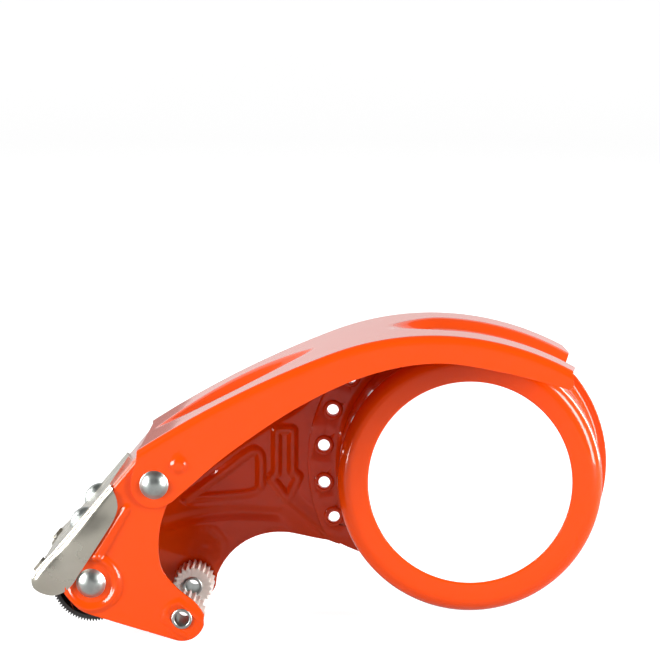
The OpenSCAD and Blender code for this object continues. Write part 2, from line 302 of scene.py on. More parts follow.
def stoved_enamel():
    """Stoved enamel on pressed steel: a thick glossy coat that flows soft over edges,
    with a faint orange peel about 2 mm across and almost no grain."""
    material, tree, place, shader = start_material("stoved_enamel_orange")
    tone = add(tree, "ShaderNodeTexNoise", inputs={"Vector": place, "Scale": 45.0, "Detail": 3.0})
    mix = add(tree, "ShaderNodeMix", {"data_type": "RGBA"}, {
        "Factor": tone.outputs["Fac"], "A": colour("#E84800"), "B": colour("#E44500")})
    peel = add(tree, "ShaderNodeTexNoise", inputs={
        "Vector": place, "Scale": 420.0, "Detail": 1.0, "Roughness": 0.4})
    wave = add(tree, "ShaderNodeTexNoise", inputs={
        "Vector": place, "Scale": 90.0, "Detail": 1.0, "Roughness": 0.4})
    soft = add(tree, "ShaderNodeBump", inputs={
        "Height": wave.outputs["Fac"], "Strength": 0.10, "Distance": 0.00025})
    bump = add(tree, "ShaderNodeBump", inputs={
        "Height": peel.outputs["Fac"], "Strength": 0.07, "Distance": 0.00008,
        "Normal": soft.outputs["Normal"]})
    gloss = add(tree, "ShaderNodeMapRange", inputs={
        "Value": tone.outputs["Fac"], "To Min": 0.20, "To Max": 0.28})
    set_inputs(tree, shader, {
        "Base Color": mix.outputs["Result"], "Roughness": gloss.outputs["Result"], "IOR": 1.4,
        "Specular IOR Level": 0.15, "Coat Weight": 1.0, "Coat Roughness": 0.04, "Coat IOR": 1.38,
        "Normal": bump.outputs["Normal"], "Coat Normal": bump.outputs["Normal"]})
    return material


def zinc_steel():
    """Zinc-plated rivet steel: pale grey metal, satin from the plating, with small
    cold-heading marks and fine speckle under half a millimetre."""
    material, tree, place, shader = start_material("zinc_plated_steel")
    cloud = add(tree, "ShaderNodeTexNoise", inputs={
        "Vector": place, "Scale": 600.0, "Detail": 4.0, "Roughness": 0.6})
    speck = add(tree, "ShaderNodeTexNoise", inputs={
        "Vector": place, "Scale": 2600.0, "Detail": 2.0})
    mix = add(tree, "ShaderNodeMix", {"data_type": "RGBA"}, {
        "Factor": cloud.outputs["Fac"], "A": colour("#9FA5A2"), "B": colour("#C9CECA")})
    gloss = add(tree, "ShaderNodeMapRange", inputs={
        "Value": cloud.outputs["Fac"], "From Min": 0.3, "From Max": 0.7,
        "To Min": 0.28, "To Max": 0.42})
    dent = add(tree, "ShaderNodeBump", inputs={
        "Height": cloud.outputs["Fac"], "Strength": 0.25, "Distance": 0.00008})
    bump = add(tree, "ShaderNodeBump", inputs={
        "Height": speck.outputs["Fac"], "Strength": 0.18, "Distance": 0.00003,
        "Normal": dent.outputs["Normal"]})
    set_inputs(tree, shader, {
        "Base Color": mix.outputs["Result"], "Metallic": 1.0,
        "Roughness": gloss.outputs["Result"], "Normal": bump.outputs["Normal"]})
    return material


def nickel_steel():
    """Nickel-plated strip steel: warm bright metal, polished, with faint rolling lines
    across the tool about a third of a millimetre apart."""
    material, tree, place, shader = start_material("nickel_plated_steel")
    grain = add(tree, "ShaderNodeMapping", inputs={"Vector": place, "Scale": (1.0, 0.04, 1.0)})
    line = add(tree, "ShaderNodeTexNoise", inputs={
        "Vector": grain.outputs["Vector"], "Scale": 3200.0, "Detail": 2.0})
    cloud = add(tree, "ShaderNodeTexNoise", inputs={
        "Vector": place, "Scale": 120.0, "Detail": 3.0})
    mix = add(tree, "ShaderNodeMix", {"data_type": "RGBA"}, {
        "Factor": cloud.outputs["Fac"], "A": colour("#C4BFB0"), "B": colour("#DCD7CA")})
    gloss = add(tree, "ShaderNodeMapRange", inputs={
        "Value": cloud.outputs["Fac"], "From Min": 0.3, "From Max": 0.7,
        "To Min": 0.20, "To Max": 0.30})
    wave = add(tree, "ShaderNodeBump", inputs={
        "Height": cloud.outputs["Fac"], "Strength": 0.25, "Distance": 0.0004})
    bump = add(tree, "ShaderNodeBump", inputs={
        "Height": line.outputs["Fac"], "Strength": 0.08, "Distance": 0.00003,
        "Normal": wave.outputs["Normal"]})
    set_inputs(tree, shader, {
        "Base Color": mix.outputs["Result"], "Metallic": 1.0,
        "Roughness": gloss.outputs["Result"], "Normal": bump.outputs["Normal"]})
    return material


def moulded_rubber():
    """Hard black rubber, moulded with fine ribs: dull, a little dusty on the high spots."""
    material, tree, place, shader = start_material("moulded_black_rubber")
    dust = add(tree, "ShaderNodeTexNoise", inputs={
        "Vector": place, "Scale": 260.0, "Detail": 5.0, "Roughness": 0.65})
    grit = add(tree, "ShaderNodeTexNoise", inputs={
        "Vector": place, "Scale": 2400.0, "Detail": 2.0})
    mix = add(tree, "ShaderNodeMix", {"data_type": "RGBA"}, {
        "Factor": dust.outputs["Fac"], "A": colour("#12100F"), "B": colour("#2A2725")})
    gloss = add(tree, "ShaderNodeMapRange", inputs={
        "Value": dust.outputs["Fac"], "From Min": 0.3, "From Max": 0.7,
        "To Min": 0.42, "To Max": 0.62})
    bump = add(tree, "ShaderNodeBump", inputs={
        "Height": grit.outputs["Fac"], "Strength": 0.3, "Distance": 0.00005})
    set_inputs(tree, shader, {
        "Base Color": mix.outputs["Result"], "Roughness": gloss.outputs["Result"], "IOR": 1.52,
        "Normal": bump.outputs["Normal"]})
    return material


def moulded_nylon():
    """Natural nylon, injection moulded: milky white, lets a little light in, soft satin skin."""
    material, tree, place, shader = start_material("moulded_white_nylon")
    cloud = add(tree, "ShaderNodeTexNoise", inputs={
        "Vector": place, "Scale": 300.0, "Detail": 3.0})
    mix = add(tree, "ShaderNodeMix", {"data_type": "RGBA"}, {
        "Factor": cloud.outputs["Fac"], "A": colour("#D6CCC2"), "B": colour("#E6E0DA")})
    gloss = add(tree, "ShaderNodeMapRange", inputs={
        "Value": cloud.outputs["Fac"], "From Min": 0.3, "From Max": 0.7,
        "To Min": 0.32, "To Max": 0.46})
    bump = add(tree, "ShaderNodeBump", inputs={
        "Height": cloud.outputs["Fac"], "Strength": 0.12, "Distance": 0.0001})
    set_inputs(tree, shader, {
        "Base Color": mix.outputs["Result"], "Roughness": gloss.outputs["Result"], "IOR": 1.53,
        "Subsurface Weight": 0.35, "Subsurface Radius": (0.9, 0.8, 0.7),
        "Subsurface Scale": 0.0012, "Normal": bump.outputs["Normal"]})
    return material


enamel = stoved_enamel()
zinc = zinc_steel()
nickel = nickel_steel()
rubber = moulded_rubber()
nylon = moulded_nylon()


# ---------------------------------------------------------------- body frame: one folded sheet
ARROW = [(-55.9, 9.3), (-51.2, 9.3), (-51.2, -3.2), (-49.5, -4.5), (-52.6, -11.4), (-57.6, -5.0),
         (-55.9, -3.6), (-55.9, 9.3)]
LONG_SLOPE = through([(-82.3, -11.2), (-76.0, -6.6), (-70.0, -2.1), (-65.4, 1.5), (-62.7, 3.0),
                      (-61.0, 2.3), (-60.5, 0.0), (-60.5, -4.0), (-60.6, -7.4)], 4)
SHORT_SIDE = through([(-60.6, -7.4), (-62.2, -9.2), (-66.0, -9.9), (-74.0, -10.6), (-82.3, -11.2)], 3)
PANEL_TOP = through([(-42.2, 26.0), (-46.0, 21.0), (-50.6, 16.3), (-60.0, 10.6),
                     (-69.5, 4.2), (-78.75, -2.5), (-87.0, -9.2), (-95.0, -16.25),
                     (-97.2, -19.0), (-95.2, -20.6), (-91.0, -19.8)], 4)
PANEL_FOOT = through([(-88.0, -19.0), (-80.0, -16.8), (-70.0, -15.5), (-58.0, -15.7), (-47.0, -17.0),
                      (-43.0, -20.0)], 3)
SIDE_RIB = [(-95.1, -4.4), (-103.2, -17.2)]


def bead(gap, half_width, height):
    """The height of a pressed bead with even flanks, at a distance from its middle."""
    if gap >= half_width:
        return 0.0
    t = gap / half_width
    return height * min(1.0, 1.22 * (1 - t)) * (1 - 0.25 * ease(t, 0.75, 1.0))


def body_lift(x, z, side, u, t):
    """What is pressed into the side plates: a sunk arrow and triangle, the panel's edges, a
    short tapered rib by the blade, and shallow rings about the axles."""
    if abs(t) < HALF + 2.5:
        return 0.0
    rise = bead(abs(math.hypot(x - WHEEL[0], z - WHEEL[1]) - 4.7), 1.0, 0.6)
    if side > 0:
        if -60.0 < x < -47.0 and -14.0 < z < 12.0:
            rise -= bead(distance((x, z), ARROW), 1.25, 0.9)
        if -85.0 < x < -58.0 and -14.0 < z < 6.0:
            long_slope = bead(distance((x, z), LONG_SLOPE), 1.3, 0.9)
            rise -= max(long_slope, bead(distance((x, z), SHORT_SIDE), 1.2, 0.4))
        rise += bead(distance((x, z), PANEL_TOP), 1.8, 0.95) * (1 - ease(z, 17.0, 26.0))
        rise += bead(distance((x, z), PANEL_FOOT), 2.4, 0.45)
    else:
        taper = 1.2 + 0.7 * ease(-x, 95.0, 103.0)
        rise += bead(distance((x, z), SIDE_RIB), taper, 0.66 * taper)
        rise += bead(abs(math.hypot(x - ROLLER[0], z - ROLLER[1]) - 7.2), 1.5, 0.88)
    return rise


def flat_body():
    """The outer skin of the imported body, laid out flat: u up the web, t across it."""
    bm = bmesh.new()
    bm.from_mesh(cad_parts["body_frame"].data)
    bmesh.ops.scale(bm, vec=(1 / MM, 1 / MM, 1 / MM), verts=bm.verts)
    bmesh.ops.remove_doubles(bm, verts=bm.verts, dist=0.002)
    bm.normal_update()
    spare = []
    for f in bm.faces:
        centre = f.calc_center_median()
        on_side = abs(centre.y) > HALF - 0.02 and abs(f.normal.y) > 0.9
        on_front = abs((centre - WEB).dot(OUT)) < 0.02 and f.normal.dot(OUT) > 0.9
        if not (on_side or on_front):
            spare.append(f)
    bmesh.ops.delete(bm, geom=spare, context="FACES")
    for v in bm.verts:
        from_web = v.co - WEB
        u, depth = from_web.dot(UP), max(0.0, -from_web.dot(OUT))
        t = v.co.y if depth < 0.01 else math.copysign(HALF + depth, v.co.y)
        v.co = (u, t, 0)
    return bm


BEND = 1.7
# Corners nearer than this become one, so that no sliver folds over when the sheet gets its thickness.
BODY_MERGE = 0.14
body = flat_body()
bends = []
for sign in (-1, 1):
    bends += [sign * p for p in spread(HALF - BEND, HALF + BEND, 0.42)]
cuts_u = spread(-44, -42, 0.6) + spread(-42, -23, 0.36) + spread(-23, 60, 0.6) + spread(60, 84, 3)
cuts_t = spread(-HALF + BEND, HALF - BEND, 3) + spread(-62, -49, 0.6) + bends
cuts_t += spread(-49, -31, 0.36) + spread(-31, -HALF - BEND, 0.6)
cuts_t += spread(HALF + BEND, 72, 0.6)
clean_grid(body, sorted({round(p, 2) for p in cuts_u}), sorted({round(p, 2) for p in cuts_t}))
fold(body, HALF, BEND, 0.0, body_lift)
bmesh.ops.remove_doubles(body, verts=body.verts, dist=BODY_MERGE)
body_piece = finish_piece("body_sheet", body, "frame", enamel, ["body_frame"])
make_sheet(body_piece, PLATE, 0.12, even=False)

collars = bmesh.new()
COLLAR = [(2.35, 26.97), (2.15, 27.02), (1.9, 26.9), (1.72, 26.55), (1.7, 26.0), (1.7, 25.1),
          (1.74, 24.85), (1.9, 24.62), (2.2, 24.5), (2.6, 24.55), (2.86, 24.75), (2.9, 24.95),
          (2.8, 25.12), (2.1, 25.15), (2.1, 26.6)]
for spot in CLINCHES:
    across(collars, spin_ring(collars, COLLAR, 48, closed=True), spot, 1)
finish_piece("clinch_collars", collars, "frame", enamel, ["body_frame"])


# ---------------------------------------------------------------- drum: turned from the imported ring
DRUM_R = 37.4
DRUM_T = 0.9
FREE_Y = -8.2
FOLD_R = 4.3
FOOT_R = 1.8
INNER = 26.0
# The rim is flat out to RIM_FLAT, turns by RIM_FOLD and ends as a lip; the tab lies between two angles.
RIM_FLAT = 39.75
RIM_FOLD = 0.94
RIM_R = 40.69
TAB_FROM = 112.5
TAB_TO = 228


def flat_ring():
    """The drum plate's face against the body: the ring and the tab, with their holes."""
    bm = bmesh.new()
    bm.from_mesh(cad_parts["drum_plate"].data)
    bmesh.ops.scale(bm, vec=(1 / MM, 1 / MM, 1 / MM), verts=bm.verts)
    bmesh.ops.remove_doubles(bm, verts=bm.verts, dist=0.002)
    bm.normal_update()
    spare = [f for f in bm.faces if f.normal.y < 0.9 or f.calc_center_median().y < INNER - 0.02]
    bmesh.ops.delete(bm, geom=spare, context="FACES")
    return bm


def pull(bm, edges, steps):
    """Extrudes a round edge loop through a list of (radius, y) about the drum's axis."""
    for radius, y in steps:
        made = bmesh.ops.extrude_edge_only(bm, edges=edges)["geom"]
        edges = [e for e in made if isinstance(e, bmesh.types.BMEdge)]
        for v in {v for e in edges for v in e.verts}:
            flat = math.hypot(v.co.x, v.co.z)
            v.co = (v.co.x * radius / flat, y, v.co.z * radius / flat)
    return edges


drum = flat_ring()
ring_in = [e for e in drum.edges if e.is_boundary
           and all(abs(math.hypot(v.co.x, v.co.z) - DRUM_R - FOOT_R) < 0.05 for v in e.verts)]
ring_out = [e for e in drum.edges if e.is_boundary
            and all(math.hypot(v.co.x, v.co.z) > 40.6 for v in e.verts)
            and all(math.hypot(v.co.x, v.co.z) < 40.8 for v in e.verts)]
ring_out = [e for e in ring_out
            if not TAB_FROM < math.degrees(math.atan2(e.verts[0].co.z, e.verts[0].co.x)) % 360 < TAB_TO]
for v in {v for e in ring_out for v in e.verts}:
    flat = math.hypot(v.co.x, v.co.z)
    v.co.x *= RIM_FLAT / flat
    v.co.z *= RIM_FLAT / flat
OUTER_T = FOOT_R + DRUM_T
foot = [(DRUM_R + FOOT_R - OUTER_T * math.sin(a), INNER - OUTER_T * (1 - math.cos(a)))
        for a in [math.pi / 2 * i / 8 for i in range(1, 9)]]
wall = [(DRUM_R - DRUM_T, y) for y in (16.0, 6.0, FREE_Y + FOLD_R)]
inner_fold = FOLD_R - DRUM_T
free = [(DRUM_R - FOLD_R + inner_fold * math.cos(a), FREE_Y + FOLD_R - inner_fold * math.sin(a))
        for a in [math.pi / 2 * i / 10 for i in range(1, 11)]]
lip = [(30.6, FREE_Y + DRUM_T), (29.4, FREE_Y + DRUM_T + 0.02), (28.77, FREE_Y + DRUM_T + 0.12)]
pull(drum, ring_in, foot + wall + free + lip)
turn = [(RIM_FLAT + RIM_FOLD * math.sin(a), INNER - RIM_FOLD * (1 - math.cos(a)))
        for a in [math.pi / 2 * i / 6 for i in range(1, 7)]]
pull(drum, ring_out, turn + [(RIM_R, 24.2), (RIM_R, 23.4)])
bmesh.ops.recalc_face_normals(drum, faces=drum.faces)
drum.normal_update()
if sum(f.normal.y for f in drum.faces if f.calc_center_median().y > INNER - 0.01) < 0:
    bmesh.ops.reverse_faces(drum, faces=drum.faces)
drum_piece = finish_piece("drum_sheet", drum, "frame", enamel, ["drum_plate"])
make_sheet(drum_piece, DRUM_T, 0.22)


# ---------------------------------------------------------------- cover: a pressed channel section
COVER_T = 0.8
COVER_HALF = 28.0
COVER_BEND = 2.0
# The spindle-shaped channel over the nose: where it starts, its length, width and depth.
SPINDLE_X = -89.0
SPINDLE_LENGTH = 45.0
SPINDLE_HALF = 15.0
SPINDLE_DEPTH = 3.4
TAIL_HALF = 14.5
TAIL_DEPTH = 2.7
# The small raised pip on each flange.
PIP = (-80.5, 8.0)
PIP_R = 2.5
PIP_H = 0.85
ARCH = (-10.5, -35.9)
ARCH_R = 80.0
ARCH_FROM = 110.99
ARCH_TO = 61.6
NOSE = (62.57, -226.36)
NOSE_R = 284.0
NOSE_FROM = 123.01
FRONT_EDGE = through([(-92.35, 9.43), (-92.9, 7.6), (-93.4, 5.6), (-93.7, 3.8), (-93.78, 1.98)], 4)
TAIL_EDGE = through([(27.65, 32.7), (27.7, 31.6), (27.3, 30.2), (26.2, 29.6)], 4)
LOWER_EDGE = arc(HINGE[0], HINGE[1], 6.5, -175, -60, 16) + through(
    [(-82.5, -2.3), (-78.75, 1.0), (-66.25, 11.7), (-47.5, 24.4), (-28.75, 33.1), (-10.0, 36.6),
     (8.75, 34.1), (26.2, 29.6)], 6)


def cover_top(share):
    """A point of the cover's top line, its direction, and the way down from it."""
    nose = NOSE_R * math.radians(NOSE_FROM - ARCH_FROM)
    reach = nose + ARCH_R * math.radians(ARCH_FROM - ARCH_TO)
    s = share * reach
    if s <= nose:
        centre, radius, angle = NOSE, NOSE_R, math.radians(NOSE_FROM) - s / NOSE_R
    else:
        centre, radius, angle = ARCH, ARCH_R, math.radians(ARCH_FROM) - (s - nose) / ARCH_R
    out = Vector((math.cos(angle), math.sin(angle)))
    return Vector(centre) + radius * out, Vector((out.y, -out.x)), -out


def channel_depth(x, y):
    """How deep the pressed channels are at a place on the cover's top: a spindle over the
    nose, and a broad channel that opens at the tail."""
    tail = ease(x, -24.0, -13.0)
    tail_half = TAIL_HALF * (0.45 + 0.55 * ease(x, -24.0, -8.0))
    deep = TAIL_DEPTH * tail * (1 - ease(abs(y), tail_half - 7.5, tail_half))
    place = (x - SPINDLE_X) / SPINDLE_LENGTH
    if 0.0 < place < 1.0:
        swell = math.sin(math.pi * place)
        half = SPINDLE_HALF * swell ** 0.75
        deep += SPINDLE_DEPTH * swell * (1 - ease(abs(y), half * 0.3, half))
    return deep


def cover_point(share, kind, value):
    """A point of the cover's outer face: kind says whether it is on a flange, a bend or the top."""
    point, way, down = cover_top(share)
    side = 1 if value > 0 else -1
    if kind == "top":
        x = point.x
        y = value
        sink = channel_depth(x, y)
        flat = 1 - ease(abs(y), 16.0, 26.0)
        shift = 1.2 * flat * ease(share, 0.93, 1.0)
        shift += 0.8 * flat * (1 - ease(share, 0.0, 0.03))
        p = point + sink * down + shift * way
    else:
        ends = -1.28 * (1 - ease(share, 0.0, 0.07)) + 1.05 * ease(share, 0.93, 1.0)
        if kind == "bend":
            tilt = abs(value)
            y = side * (COVER_HALF - COVER_BEND + COVER_BEND * math.sin(tilt))
            drop = COVER_BEND * (1 - math.cos(tilt))
            p = point + drop * down + ends * drop / COVER_BEND * way
        else:
            t = abs(value)
            y = side * COVER_HALF
            upper = point + COVER_BEND * down + ends * way
            lower = along(LOWER_EDGE, share)
            left = along(FRONT_EDGE, t)
            right = along(TAIL_EDGE, t)
            corners = ((1 - share) * (1 - t) * Vector(FRONT_EDGE[0])
                       + share * (1 - t) * Vector(TAIL_EDGE[0])
                       + (1 - share) * t * Vector(FRONT_EDGE[-1])
                       + share * t * Vector(TAIL_EDGE[-1]))
            p = (1 - t) * upper + t * lower + (1 - share) * left + share * right - corners
            pip = min(1.0, max(0.0, (PIP_R - math.hypot(p.x - PIP[0], p.y - PIP[1])) / 1.2))
            y = side * (COVER_HALF + PIP_H * pip)
    return (p.x, y, p.y)


flange_rows = [1.0, 0.97, 0.92, 0.86, 0.8]
flange_rows += spread(0.77, 0.38, 0.027)
flange_rows += [0.32, 0.25, 0.17, 0.1, 0.0001]
bend_rows = [math.pi / 2 * i / 7 for i in range(6, 0, -1)]
stations = [("flange", -t) for t in flange_rows]
stations += [("bend", -a) for a in bend_rows]
stations += [("top", y) for y in spread(-26.0, 26.0, 0.8)]
stations += [("bend", a) for a in reversed(bend_rows)]
stations += [("flange", t) for t in reversed(flange_rows)]
shares = spread(0.0, 0.075, 0.0053)[:-1]
shares += spread(0.075, 0.14, 0.0028)[:-1]
shares += spread(0.14, 1.0, 0.0053)
cover = bmesh.new()
bmesh.ops.create_grid(cover, x_segments=len(shares) - 1, y_segments=len(stations) - 1, size=0.5)
for v in cover.verts:
    i = round((v.co.x + 0.5) * (len(shares) - 1))
    j = round((v.co.y + 0.5) * (len(stations) - 1))
    v.co = cover_point(shares[i], *stations[j])
cover.normal_update()
middle = [f for f in cover.faces if abs(f.calc_center_median().y) < 5]
if sum(f.normal.z for f in middle) < 0:
    bmesh.ops.reverse_faces(cover, faces=cover.faces)
cover_piece = finish_piece("cover_sheet", cover, "cover", enamel, ["cover"])
make_sheet(cover_piece, COVER_T, 0.22, clamp=True, even=False)


# ---------------------------------------------------------------- cutter blade: a folded U with teeth
BLADE_T = 0.8
BLADE_HALF = 27.86
BLADE_BEND = 2.5
TOOTH_TIP = -38.8
TOOTH_ROOT = -37.2
TEETH = 21
EAR = 22.36
# The lower end of each ear turns in on this radius.
TURN_R = 3.4


def blade_half_outline():
    """Half of the blade's flat pattern: (u, t) from the middle of the top edge to the first tooth."""
    side = BLADE_HALF + BLADE_T
    points = through([(-4.0, 0.0), (-4.9, 8.0), (-6.9, 18.0), (-7.9, 25.0),
                      (-8.3, side - 0.2), (-8.5, side + 0.8), (-9.6, side + 3.0),
                      (-11.6, side + 5.1), (-14.6, side + 6.3), (-18.0, side + 6.9)], 5)
    points += through([(-33.0, side + 8.8), (-36.2, side + 9.2), (-39.4, side + 8.8),
                       (-42.2, side + 7.0), (-43.9, side + 3.9), (-44.4, side + 0.6), (-44.2, 26.0),
                       (-43.6, 24.0), (-42.6, 22.8), (-41.2, EAR + 0.05)], 5)
    points.append((TOOTH_ROOT, EAR))
    return points


def blade_outline():
    """The whole flat pattern, with the teeth between the two ears."""
    half = blade_half_outline()
    pitch = 2 * EAR / TEETH
    teeth = []
    for i in range(TEETH):
        start = EAR - i * pitch
        teeth.append((TOOTH_TIP + 0.15, start - pitch * 0.42))
        teeth.append((TOOTH_TIP, start - pitch / 2))
        teeth.append((TOOTH_TIP + 0.15, start - pitch * 0.58))
        teeth.append((TOOTH_ROOT, start - pitch))
    mirrored = [(u, -t) for u, t in reversed(half)]
    return half + teeth[:-1] + mirrored[:-1]


def blade_lift(x, z, side, u, t):
    """The flanges swell a little, and the ears are dished so that their lower ends turn in."""
    reach = abs(t)
    if reach < EAR:
        return 0.0
    swell = 0.75 * (1 - ease(math.hypot(u + 24.0, (reach - 34.0) * 1.5), 0.5, 12.0))
    ear = 0.5 * (1 - ease(math.hypot(u + 38.5, (reach - 29.5) * 0.8), 1.0, 6.5))
    drop = min(3.3, max(0.0, -u - 41.2))
    turned = (TURN_R - math.sqrt(TURN_R * TURN_R - drop * drop)) * ease(reach, EAR, EAR + 1.5)
    turned *= 1 - 0.65 * ease(reach, BLADE_HALF, BLADE_HALF + 5.0)
    return swell + ear - turned


blade = bmesh.new()
rim = [blade.verts.new((u, t, 0)) for u, t in blade_outline()]
blade.faces.new(rim)
bmesh.ops.triangulate(blade, faces=blade.faces)
blade_cuts_t = []
for sign in (-1, 1):
    blade_cuts_t += [sign * p for p in spread(BLADE_HALF - BLADE_BEND, BLADE_HALF + BLADE_BEND, 0.4)]
    blade_cuts_t += [sign * p for p in spread(BLADE_HALF + BLADE_BEND, 38, 1.0)]
    blade_cuts_t += [sign * p for p in spread(EAR + 0.6, BLADE_HALF - BLADE_BEND, 0.7)]
blade_cuts_t += spread(-EAR + 1, EAR - 1, 2.2)
clean_grid(blade, sorted({round(p, 2) for p in spread(-44.5, -3.5, 0.8)}),
           sorted({round(p, 2) for p in blade_cuts_t}))
blade.normal_update()
if sum(f.normal.z for f in blade.faces) < 0:
    bmesh.ops.reverse_faces(blade, faces=blade.faces)
fold(blade, BLADE_HALF, BLADE_BEND, BLADE_T, blade_lift)
bmesh.ops.dissolve_degenerate(blade, edges=blade.edges, dist=0.001)
blade_piece = finish_piece("blade_sheet", blade, "frame", nickel, ["cutter_blade"])
make_sheet(blade_piece, BLADE_T, 0.12, clamp=True, even=False)


# ---------------------------------------------------------------- rivets, screws and nuts
for name, side in (("left", -1), ("right", 1)):
    rivet = bmesh.new()
    head = dome(3.95, 2.1, 28.03)
    shank = [(2.4, 28.03), (2.4, 26.0)]
    tail = [(3.2, 25.98), (3.6, 25.75), (3.6, 25.45), (3.3, 25.18), (2.2, 25.1), (0.0, 25.1)]
    across(rivet, spin_ring(rivet, head + shank + tail, 72), HINGE, side)
    finish_piece("rivet_" + name, rivet, "frame", zinc, ["hinge_rivet_" + name], 50)

    screw = bmesh.new()
    head = dome(3.9, 2.1, 0.8)
    shank = [(2.0, 0.8), (2.0, -3.5), (1.7, -3.8), (0.0, -3.8)]
    on_web(screw, spin_ring(screw, head + shank, 72), SCREW_U, side * SCREW_Y)
    finish_piece("screw_" + name, screw, "frame", zinc, ["blade_screw_" + name], 50)


def hexagon(angle, flats):
    """The radius of a hexagon with a corner on the first axis."""
    turn = math.radians((math.degrees(angle) + 30) % 60 - 30)
    return flats / 2 / math.cos(math.radians(30) - abs(turn))


def shaped_stack(bm, layers, segments, radius_at):
    """Stacks round loops on Z by extruding one: each layer is (height, shape), and
    radius_at(shape, angle) is the loop's radius there. Its two ends meet as a ring."""
    made = bmesh.ops.create_circle(bm, segments=segments, radius=1.0, cap_ends=False)["verts"]
    edges = list({e for v in made for e in v.link_edges})
    first = edges
    whole = list(made)
    for n, (height, shape) in enumerate(layers):
        if n:
            grown = bmesh.ops.extrude_edge_only(bm, edges=edges)["geom"]
            edges = [e for e in grown if isinstance(e, bmesh.types.BMEdge)]
            made = [v for v in grown if isinstance(v, bmesh.types.BMVert)]
            edges = [e for e in edges if all(v in set(made) for v in e.verts)]
            whole += made
        for v in made:
            a = math.atan2(v.co.y, v.co.x)
            r = radius_at(shape, a)
            v.co = (r * math.cos(a), r * math.sin(a), height)
    bmesh.ops.bridge_loops(bm, edges=first + edges)
    bmesh.ops.remove_doubles(bm, verts=whole, dist=0.0005)
    bmesh.ops.recalc_face_normals(bm, faces=bm.faces)
    return bm.verts[:]


NUT_BORE = 2.03
NUT_MOUTH = 2.3
NUT_FLATS = 7.0


def nut_radius(shape, angle):
    """A nut's outline: its bore opens at each face, and its corners are turned off towards them."""
    if shape < 2.2:
        return NUT_BORE if shape < 2.1 else NUT_MOUTH
    return min(hexagon(angle, NUT_FLATS), shape)


for name, side in (("left", -1), ("right", 1)):
    nut = bmesh.new()
    layers = [(-3.0, 2.0), (-3.2, 2.15), (-3.2, 3.5), (-2.95, 3.8), (-2.8, 4.1),
              (-1.4, 4.1), (-1.25, 3.8), (-1.0, 3.5), (-1.0, 2.15), (-1.2, 2.0)]
    on_web(nut, shaped_stack(nut, layers, 72, nut_radius), SCREW_U, side * SCREW_Y)
    finish_piece("nut_" + name, nut, "frame", zinc, ["blade_nut_" + name], 28)


# ---------------------------------------------------------------- roller, its sleeve and its axle
axle = bmesh.new()
AXLE = dome(4.05, 2.1, 27.02)
AXLE += [(2.7, 27.0), (2.7, 0.0), (2.7, -27.0), (3.1, -27.0), (3.45, -27.15), (3.55, -27.5),
         (3.45, -27.85), (3.1, -28.0), (2.75, -27.95), (2.4, -27.6), (2.22, -27.0),
         (2.2, -24.0), (1.6, -23.0), (0.0, -22.6)]
across(axle, spin_ring(axle, AXLE, 72), ROLLER, -1)
finish_piece("axle_rivet", axle, "frame", zinc, ["roller_axle"], 50)

sleeve = bmesh.new()
SLEEVE = [(2.73, -25.9), (2.85, -25.97), (3.3, -25.97), (3.43, -25.85), (3.43, 25.85),
          (3.3, 25.97), (2.85, 25.97), (2.73, 25.9)]
across(sleeve, spin_ring(sleeve, SLEEVE, 64, closed=True), ROLLER, 1)
finish_piece("axle_sleeve", sleeve, "frame", zinc, ["roller_sleeve"], 40)

RIBS = 84


def roller_radius(shape, angle):
    """The roller's outline: shape is (radius, rib height), with a rib every 4.3 degrees."""
    radius, rib = shape
    phase = (angle / (2 * math.pi) * RIBS) % 1.0
    return radius - rib * (0.0 if 0.3 < phase < 0.9 else 1.0)


roller = bmesh.new()
half_layers = [(25.1, (3.48, 0)), (25.4, (3.75, 0)), (25.4, (4.9, 0)), (25.2, (5.08, 0)),
               (22.4, (5.2, 0)), (22.4, (9.1, 0)), (25.0, (9.2, 0)), (25.4, (9.45, 0)),
               (25.4, (10.5, 0.15)), (25.3, (10.95, 0.5)), (25.0, (11.2, 0.6))]
layers = half_layers + [(-h, s) for h, s in reversed(half_layers)]
shaped_stack(roller, layers, RIBS * 4, roller_radius)
across(roller, roller.verts[:], ROLLER, 1)
finish_piece("roller_tyre", roller, "press_roller", rubber, ["press_roller"], 30)


# ---------------------------------------------------------------- toothed guide wheels and eyelets
WHEEL_TEETH = 22
WHEEL_NEAR = 14.85
WHEEL_FAR = 25.85
WHEEL_LAYERS = [(WHEEL_NEAR + 0.25, (2.45, 0)), (WHEEL_NEAR, (2.7, 0)), (WHEEL_NEAR, (4.7, 0)),
                (WHEEL_NEAR + 0.15, (5.5, 0.5)), (WHEEL_NEAR + 0.55, (5.9, 0.85)),
                (WHEEL_FAR - 0.55, (5.9, 0.85)), (WHEEL_FAR - 0.15, (5.5, 0.5)),
                (WHEEL_FAR, (4.7, 0)), (WHEEL_FAR, (2.7, 0)), (WHEEL_FAR - 0.25, (2.45, 0))]
EYELET = [(2.0, 27.2), (2.08, 27.4), (2.3, 27.5), (2.65, 27.47), (2.85, 27.25), (2.8, 27.02),
          (2.4, 26.98), (2.4, 14.72), (2.8, 14.68), (2.85, 14.45), (2.65, 14.23),
          (2.3, 14.2), (2.08, 14.3), (2.0, 14.5)]


def wheel_radius(shape, angle):
    """A guide wheel's outline: rounded teeth whose height fades where shape says."""
    radius, tooth = shape
    phase = (angle / (2 * math.pi) * WHEEL_TEETH) % 1.0
    swing = abs(phase - 0.5) * 2
    return radius - tooth * min(1.0, 1.25 * max(0.0, swing - 0.1))


